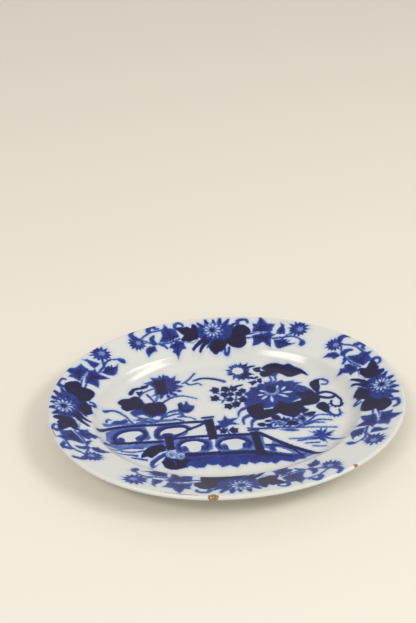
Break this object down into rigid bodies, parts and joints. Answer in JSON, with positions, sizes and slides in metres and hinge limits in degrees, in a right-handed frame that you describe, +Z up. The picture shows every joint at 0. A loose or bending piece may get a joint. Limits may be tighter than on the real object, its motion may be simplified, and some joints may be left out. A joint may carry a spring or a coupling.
{
  "type": "oval serving platter",
  "caption": "Oval china serving platter with a wide sloping rim, a shallow flat well and a low foot ring, printed under the glaze in deep blue with flowers and a garden fence.",
  "frame": {"origin": "middle of the foot ring's ground face, on the surface that the platter stands on", "axes": "+X along the platter's long axis, +Y towards the far rim with the chipped rim on the -Y side, +Z up out of the well"},
  "size_m": [0.432, 0.344, 0.041],
  "materials": {
    "bare_clay": "unglazed earthenware, matt",
    "printed_glaze": "glossy clear glaze over a white ground with a flowing cobalt blue print",
    "clear_glaze": "glossy clear glaze with a faint blue cast"
  },
  "bodies": {
    "root": {"clay_body": "bare_clay", "glaze_coat": "printed_glaze", "base_glaze": "clear_glaze"}
  },
  "joints": []
}
